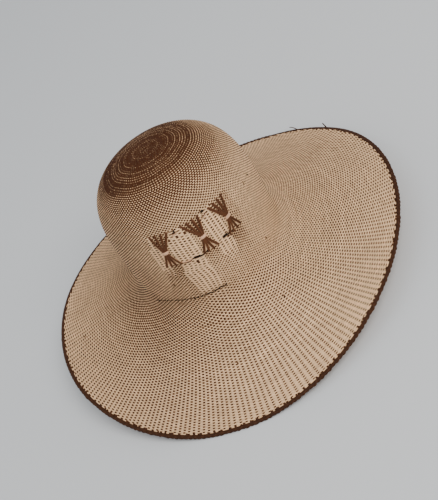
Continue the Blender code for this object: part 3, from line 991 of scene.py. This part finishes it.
def surface_strand(azimuths, places, width, lift):
    """A short bare strand through these places, with both ends tucked into the weave."""
    steps = np.linspace(0, 1, len(azimuths))
    lifts = np.interp(steps, (0, 0.15, 0.85, 1), (0.0, lift, lift, 0.0))
    return tube(*surface_line(places, azimuths, lifts), width, BARE_THICKNESS)


def loose_strand(azimuth_deg, rise_mm, to_azimuth_deg, to_rise_mm, bow_mm=0.0, width_mm=1.0, lift_mm=0.75):
    """A short bare strand on the wall from one place to another, with a bow up or down."""
    steps = np.linspace(0, 1, 12)
    azimuths = np.radians(azimuth_deg + (to_azimuth_deg - azimuth_deg) * steps)
    rises = rise_mm + (to_rise_mm - rise_mm) * steps + bow_mm * 4 * steps * (1 - steps)
    return surface_strand(azimuths, wall_place(rises * MM, azimuths), width_mm * MM, lift_mm * MM)


def knots():
    """Small dark ends of straw here and there in the weave."""
    strands = []
    steps = np.linspace(-0.5, 0.5, 6)
    for row in KNOTS:
        azimuths = (row["azimuth_deg"] + steps * row["along_deg"]) * DEG
        strands.append(surface_strand(azimuths, row["place"] + steps * row["down"], KNOT_WIDTH, KNOT_LIFT))
    return strands


def slit_shades():
    """Painted shade for each slit: a deep dark strand behind it, seen through it, and one along its lip;
    and dark lines on from its end.
    """
    strands = []
    for slit in SLITS:
        half = math.degrees(slit["length_mm"] * MM / 2 / CROWN_HALF_LENGTH)
        fall = math.sin(slit["lean_deg"] * DEG) * slit["length_mm"] / 2
        azimuth = slit["azimuth_deg"]
        rise = slit["rise_mm"] - SLIT_SHADE_DROP_MM
        ends = (azimuth - half, rise - fall, azimuth + half, rise + fall)
        # Painted shade: a deep dark strand inside the wall, seen through the opening.
        strands.append(loose_strand(*ends, width_mm=slit["shade_mm"], lift_mm=-1.0))
        # Painted shade along the slit's lip: a deep dark strand on the surface.
        strands.append(loose_strand(*ends, width_mm=slit["lip_shade_mm"], lift_mm=0.5))
    return strands + [loose_strand(**tail, lift_mm=0.9) for tail in SLIT_TAILS]


def foot_shade_line():
    """Painted shade of the gap along the crown's foot at the front: a line of short dark dashes, thin at
    its left end.
    """
    first, last = (FOOT_SHADE_LINE[row]["azimuth_deg"] for row in (0, -1))
    shade_dashes = []
    for azimuth in np.arange(first, last, FOOT_SHADE_DASH_DEG):
        turns = np.linspace(azimuth, azimuth + rng.uniform(1.4, 2.0), 6)
        places = read_table(FOOT_SHADE_LINE, "place", turns) + rng.uniform(-FOOT_UNEVEN, FOOT_UNEVEN)
        width = read_table(FOOT_SHADE_LINE, "width_mm", azimuth) * MM
        shade_dashes.append(surface_strand(np.radians(turns), places, width, FOOT_LIFT))
    return shade_dashes


def plait_strands():
    """The braid round the edge: three dark strands that cross over each other once a lobe, over a core."""
    azimuths = np.arange(PLAIT_STATIONS) * TURN / PLAIT_STATIONS
    middle = rim_points(azimuths)
    drop = read_table(BRAID_DROPS, "drop_mm", np.degrees(azimuths), period=360) * MM
    # Where the edge rests on the floor there is little room below.
    drop = np.minimum(drop, middle[:, 2] - BRAID_CLEARANCE)
    flat = drop / drop.max()
    forward = unit(np.roll(middle, -1, axis=0) - np.roll(middle, 1, axis=0))
    outward = middle - brim_points(azimuths, [NEAR_EDGE])[0]
    outward = unit(outward - forward * (outward * forward).sum(-1)[:, None])
    top = np.cross(outward, forward)
    middle = middle - top * drop[:, None]
    heights = PLAIT_THICKNESS * (1 - PLAIT_FLATTENS * flat)
    strands = []
    for strand in range(3):
        phase = azimuths * PLAIT_LOBES + strand * TURN / 3
        uneven = 1 + PLAIT_UNEVEN * sway(azimuths, 0, 5 + strand, (17, 29, 43))
        across = np.sin(phase + 2 * uneven) * BRAID_WIDTH * PLAIT_SWING * uneven
        lift = np.sin(2 * phase) * BRAID_THICKNESS * PLAIT_RISE * (1 - 0.5 * flat)
        path = middle + outward * across[:, None] + top * lift[:, None]
        strands.append(tube(path, top, PLAIT_WIDTH, heights, closed=True))
    core_widths = BRAID_WIDTH * (0.98 + 0.06 * sway(azimuths, 0, 3, (31, 47, 71)))
    core_middle = middle - outward * PLAIT_CORE_INWARD + top * (drop * PLAIT_CORE_RAISED)[:, None]
    strands.append(tube(core_middle, top, core_widths, PLAIT_CORE_THICKNESS, closed=True))
    return strands


def edge_points():
    """Short dark strand ends that lie on the brim beside the braid, where its strands turn under."""
    steps = np.linspace(0, 1, 6)
    widths = np.interp(steps, (0, 1), (3.6, 2.6)) * MM
    lifts = np.interp(steps, (0, 0.5, 1), (0.4, 0.5, 0.1)) * MM
    strands = []
    for end in range(EDGE_ENDS):
        azimuth = (end + rng.uniform(-0.15, 0.15)) * TURN / EDGE_ENDS
        azimuths = azimuth + steps * rng.uniform(0.6, 1.2) * EDGE_END_TURN
        places = np.minimum(3 - steps * rng.uniform(0.5, 1.0) * EDGE_END_REACH, PLACE_RANGE[1])
        strands.append(tube(*surface_line(places, azimuths, lifts), widths, EDGE_END_THICKNESS))
    return strands


def stray_fibres():
    """A few fine ends of straw that stick up from the edge at the far side."""
    steps = np.linspace(0, 1, 10)[:, None]
    widths = np.interp(steps[:, 0], (0, 1), (1.7, 1.1)) * MM
    strands = []
    for row in STRAYS:
        start = rim_points(np.array([row["azimuth_deg"] * DEG]))[0]
        reach = np.array((row["x_mm"], row["y_mm"], row["z_mm"])) * MM
        path = start + reach * steps + np.array((0, 0, row["sag_mm"] * MM)) * 4 * steps * (1 - steps)
        strands.append(tube(path, np.broadcast_to((0, 0, 1.0), path.shape), widths, widths, sides=4))
    return strands


def add_node(tree, kind, inputs, **settings):
    """A new shader node. Each input gets a constant, or a link where it is another node's output."""
    node = tree.nodes.new("ShaderNode" + kind)
    for key, value in settings.items():
        setattr(node, key, value)
    for key, value in inputs.items():
        if isinstance(value, bpy.types.NodeSocket):
            tree.links.new(value, node.inputs[key])
        else:
            node.inputs[key].default_value = value
    return node


def value_range(tree, source, low, high, source_low=0.3, source_high=0.7):
    """Maps a value to another range."""
    ends = {"From Min": source_low, "From Max": source_high, "To Min": low, "To Max": high}
    return add_node(tree, "MapRange", {"Value": source, **ends}).outputs["Result"]


def straw_material(name, light, dark=None):
    """Straw with fibres along each strand, a tone of its own for each strand and faint blotches."""
    material = bpy.data.materials.new(name)
    material.use_nodes = True
    tree = material.node_tree
    strand = add_node(tree, "UVMap", {}, uv_map="strand").outputs["UV"]
    where = add_node(tree, "TexCoord", {}).outputs["Object"]
    along = add_node(tree, "Mapping", {"Vector": strand, "Scale": FIBRE_STRETCH}).outputs["Vector"]
    fibres = add_node(tree, "TexNoise", {"Vector": along, "Scale": 3.0, "Detail": 3.0}).outputs["Fac"]
    blotches = add_node(tree, "TexNoise", {"Vector": where, "Scale": 28.0, "Detail": 4.0}).outputs["Fac"]
    if dark is not None:
        brown = add_node(tree, "Attribute", {}, attribute_name="brown").outputs["Fac"]
        ends = {"Factor": brown, "A": (*light, 1), "B": (*dark, 1)}
        colour = add_node(tree, "Mix", ends, data_type="RGBA").outputs["Result"]
    else:
        ramp = add_node(tree, "ValToRGB", {"Fac": fibres})
        for element, factor in zip(ramp.color_ramp.elements, FIBRE_FACTORS):
            element.color = (*[min(part * factor, 1) for part in light], 1)
        colour = ramp.outputs["Color"]
    tone = add_node(tree, "Attribute", {}, attribute_name="tone").outputs["Fac"]
    shade = value_range(tree, tone, 1 - 2 * TONE_STEP, 1 + 2 * TONE_STEP, -2.0, 2.0)
    for source, low, high in ((fibres, 0.86, 1.14), (blotches, 0.94, 1.06)):
        factors = {0: shade, 1: value_range(tree, source, low, high)}
        shade = add_node(tree, "Math", factors, operation="MULTIPLY").outputs[0]
    shaded = add_node(tree, "HueSaturation", {"Value": shade, "Color": colour})
    bump = add_node(tree, "Bump", {"Strength": 0.35, "Distance": 0.0001, "Height": fibres})
    shader = tree.nodes["Principled BSDF"]
    shader.inputs["Specular IOR Level"].default_value = 0.13
    tree.links.new(shaded.outputs["Color"], shader.inputs["Base Color"])
    tree.links.new(value_range(tree, fibres, 0.50, 0.72), shader.inputs["Roughness"])
    tree.links.new(bump.outputs["Normal"], shader.inputs["Normal"])
    return material


# Colours of the straw.
LIGHT_STRAW = (0.85, 0.545, 0.305)
BROWN_STRAW = (0.070, 0.021, 0.006)
BUNCH_STRAW = (0.108, 0.040, 0.017)
# The deep dark of painted shade, in and along the slits and along the crown's foot.
PAINTED_SHADE_STRAW = (0.016, 0.007, 0.004)
EDGE_STRAW = (0.065, 0.024, 0.010)
TIE_STRAW = (0.78, 0.46, 0.28)
TONE_STEP = 0.13
FIBRE_STRETCH = (0.6, 5.0, 1.0)
FIBRE_FACTORS = (0.72, 1.25)

# Bare ends of straw round the bunches, each from one place on the wall to another.
LOOSE_COLUMNS = ("azimuth_deg", "rise_mm", "to_azimuth_deg", "to_rise_mm", "bow_mm")
DARK_ENDS = table(
    LOOSE_COLUMNS,
    (244.6, 52.3, 251.4, 51.0, -1.2),
    (271.0, 86.2, 272.3, 88.2, 0.0),
    (272.3, 88.2, 273.2, 86.8, 0.0),
    (273.2, 86.8, 274.5, 88.6, 0.0),
    (249.0, 90.4, 252.6, 91.0, 0.3),
    (249.6, 87.4, 251.8, 88.4, 0.0),
    (253.1, 46.9, 254.7, 45.7, 0.0),
    (253.3, 45.6, 254.5, 47.1, 0.0),
    (228.6, 23.8, 229.6, 25.5, 0.0),
    (281.0, 53.6, 279.3, 53.2, 0.0),
    (259.6, 50.9, 264.3, 53.6, -0.4),
    (280.2, 51.6, 284.8, 52.4, -0.3),
)
LIGHT_ENDS = table(
    LOOSE_COLUMNS,
    (244.4, 53.4, 251.6, 52.3, -1.1),
    (271.6, 84.9, 274.9, 87.3, 0.3),
    (249.2, 85.8, 252.8, 86.8, 0.2),
)


PIECES = table(
    ("name", "from_place", "to_place", "inside"),
    ("woven_top", 0, 0.62, False),
    ("woven_wall", 0.62, 1.0, False),
    ("woven_brim_inner", 1.0, 2.42, False),
    ("woven_brim_outer", 2.42, 3, False),
    ("inside_crown", 0, 1.5, True),
    ("inside_brim", 1.5, 3, True),
)


def make_weave(material):
    """The whole weave: tiles outside and inside, over a thin core."""
    weave = crossings()
    place = weave["place"]
    margin = np.where(weave["over"], SLIT_MARGIN_WARP, SLIT_MARGIN_WEFT)
    woven = ~((place < 1.0) & slit_hit(weave["azimuth"], weave["rise"], margin))
    for piece in PIECES:
        chosen = woven & (place >= piece["from_place"]) & (place < piece["to_place"])
        make_tiles(piece["name"], weave, chosen, material, piece["inside"])
    make_core(material)


def add_floor():
    """A plain pale floor, far wider than the view."""
    bpy.ops.mesh.primitive_plane_add(size=12.0, location=(0, 0, 0))
    floor = bpy.context.object
    floor.name = "floor"
    material = bpy.data.materials.new("floor")
    material.use_nodes = True
    shader = material.node_tree.nodes["Principled BSDF"]
    shader.inputs["Base Color"].default_value = (0.70, 0.71, 0.715, 1)
    shader.inputs["Roughness"].default_value = 0.9
    shader.inputs["Specular IOR Level"].default_value = 0.1
    floor.data.materials.append(material)


def add_light(name, place, size, power, colour):
    """A large soft square light that faces the hat."""
    data = bpy.data.lights.new(name, "AREA")
    data.shape = "SQUARE"
    data.size = size
    data.energy = power
    data.color = colour
    thing = bpy.data.objects.new(name, data)
    thing.location = place
    aim = Vector((0, 0, 0.08)) - Vector(place)
    thing.rotation_euler = aim.to_track_quat("-Z", "Y").to_euler()
    bpy.context.scene.collection.objects.link(thing)


def add_lights():
    """Soft studio light: a bright surround and two large lamps."""
    world = bpy.data.worlds.new("surround")
    world.use_nodes = True
    back = world.node_tree.nodes["Background"]
    back.inputs["Color"].default_value = (0.93, 0.96, 1.0, 1)
    back.inputs["Strength"].default_value = 0.70
    bpy.context.scene.world = world
    add_light("key", place=(0.75, -1.35, 1.85), size=1.4, power=37.0, colour=(1.0, 0.98, 0.95))
    add_light("fill", place=(-1.6, 0.3, 1.5), size=1.6, power=4.0, colour=(0.95, 0.97, 1.0))


# The camera's place and turn, from the fit to the photograph.
CAMERA_PLACE = Vector((2.077, -833.942, 764.866)) * MM
CAMERA_VIEW = Vector((0.0, 0.762688, -0.646767))
CAMERA_RIGHT = Vector((0.74742, -0.42968, -0.50669))
CAMERA_UP = Vector((0.66435, 0.48341, 0.57005))
PHOTO_WIDTH_PX = 438
PHOTO_HEIGHT_PX = 500
FOCAL_PX = 963.303
AXIS_PX = (210.205, 245.169)
SENSOR_MM = 36.0


def add_camera():
    """The photograph's camera, rolled as it is there."""
    data = bpy.data.cameras.new("camera")
    data.sensor_fit = "HORIZONTAL"
    data.sensor_width = SENSOR_MM
    data.lens = FOCAL_PX / PHOTO_WIDTH_PX * SENSOR_MM
    data.shift_x = (PHOTO_WIDTH_PX / 2 - AXIS_PX[0]) / PHOTO_WIDTH_PX
    data.shift_y = (AXIS_PX[1] - PHOTO_HEIGHT_PX / 2) / PHOTO_WIDTH_PX
    data.clip_start = 0.01
    camera = bpy.data.objects.new("camera", data)
    bpy.context.scene.collection.objects.link(camera)
    turn = Matrix((CAMERA_RIGHT, CAMERA_UP, -CAMERA_VIEW)).transposed().to_4x4()
    camera.matrix_world = Matrix.Translation(CAMERA_PLACE) @ turn
    bpy.context.scene.camera = camera


def build():
    """The dressed hat and its plain studio."""
    woven = straw_material("woven_straw", LIGHT_STRAW, BROWN_STRAW)
    dark = straw_material("dark_straw", BUNCH_STRAW)
    edge = straw_material("edge_straw", EDGE_STRAW)
    deep = straw_material("painted_shade_straw", PAINTED_SHADE_STRAW)
    light = straw_material("light_straw", TIE_STRAW)
    make_weave(woven)
    make_strands("edge_plait", plait_strands() + edge_points(), "dark_straw", edge, "edge_braid")
    make_strands("stray_fibres", stray_fibres(), "dark_straw", edge, "edge_braid")
    for bunch in BUNCHES:
        name = bunch["name"]
        make_strands("strands_" + name, bunch_strands(bunch), "dark_straw", dark, "bunch_" + name)
        make_strands("wrap_" + name, tie_strands(bunch), "light_straw", light, "tie_" + name)
    dark_ends = [loose_strand(**row) for row in DARK_ENDS] + knots()
    make_strands("dark_ends", dark_ends, "dark_straw", edge, "woven_body")
    # Painted shade in and along the slits and along the crown's foot, in deep dark straw.
    make_strands("painted_shade_lines", foot_shade_line() + slit_shades(), "dark_straw", deep, "woven_body")
    light_ends = [loose_strand(**row) for row in LIGHT_ENDS]
    make_strands("light_ends", light_ends, "straw_weave", light, "woven_body")
    add_floor()
    add_lights()
    add_camera()


build()
